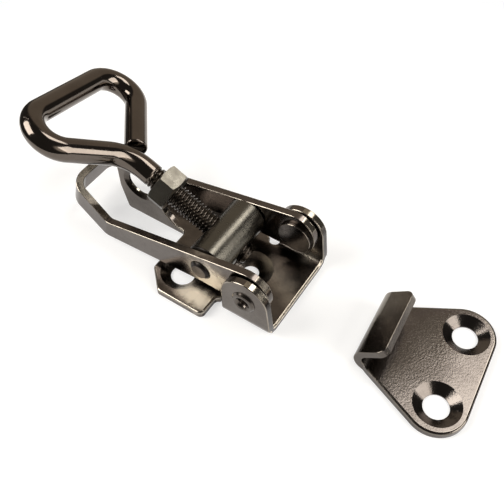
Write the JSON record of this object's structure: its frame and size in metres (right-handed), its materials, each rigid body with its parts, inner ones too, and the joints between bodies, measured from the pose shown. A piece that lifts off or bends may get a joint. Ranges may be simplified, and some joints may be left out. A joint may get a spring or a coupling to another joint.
{
  "type": "over-centre toggle latch",
  "caption": "Over-centre toggle latch with adjustable hook bolt, padlock lug and separate catch plate, dark nickel finish.",
  "frame": {"origin": "on the mounting surface under the lever's pivot, midway between the ears", "axes": "+X from the pivot towards the catch plate, +Y across the latch, +Z away from the mounting surface"},
  "size_m": [0.1244, 0.0404, 0.0388],
  "materials": {
    "plate_nickel": "dark nickel, polished",
    "lever_nickel": "dark nickel, polished",
    "trunnion_nickel": "dark nickel, satin",
    "rivet_nickel": "dark nickel, polished",
    "rod_nickel": "dark nickel, polished",
    "nut_zinc": "pale satin plating",
    "catch_nickel": "dark nickel, polished"
  },
  "bodies": {
    "root": {"base_plate": "plate_nickel", "near_pivot_rivet": "rivet_nickel", "far_pivot_rivet": "rivet_nickel", "catch_plate": "catch_nickel"},
    "lever": {"lever": "lever_nickel"},
    "trunnion": {"trunnion": "trunnion_nickel"},
    "hook": {"hook_bolt": "rod_nickel"},
    "nut": {"lock_nut": "nut_zinc"}
  },
  "joints": [
    {"name": "lever_pivot", "type": "hinge", "parent": "root", "child": "lever", "pos_m": [0, 0, 0.0105], "axis": [0, 1, 0], "range_deg": [0, 150]},
    {"name": "trunnion_pivot", "type": "hinge", "parent": "lever", "child": "trunnion", "pos_m": [-0.01435, 0, 0.00965], "axis": [0, 1, 0], "range_deg": [0, 80]},
    {"name": "hook_adjust", "type": "slide", "parent": "trunnion", "child": "hook", "axis": [-0.9074, 0, 0.4202], "range_m": [0, 0.004]},
    {"name": "nut_adjust", "type": "slide", "parent": "trunnion", "child": "nut", "axis": [-0.9074, 0, 0.4202], "range_m": [-0.0118, 0]}
  ]
}
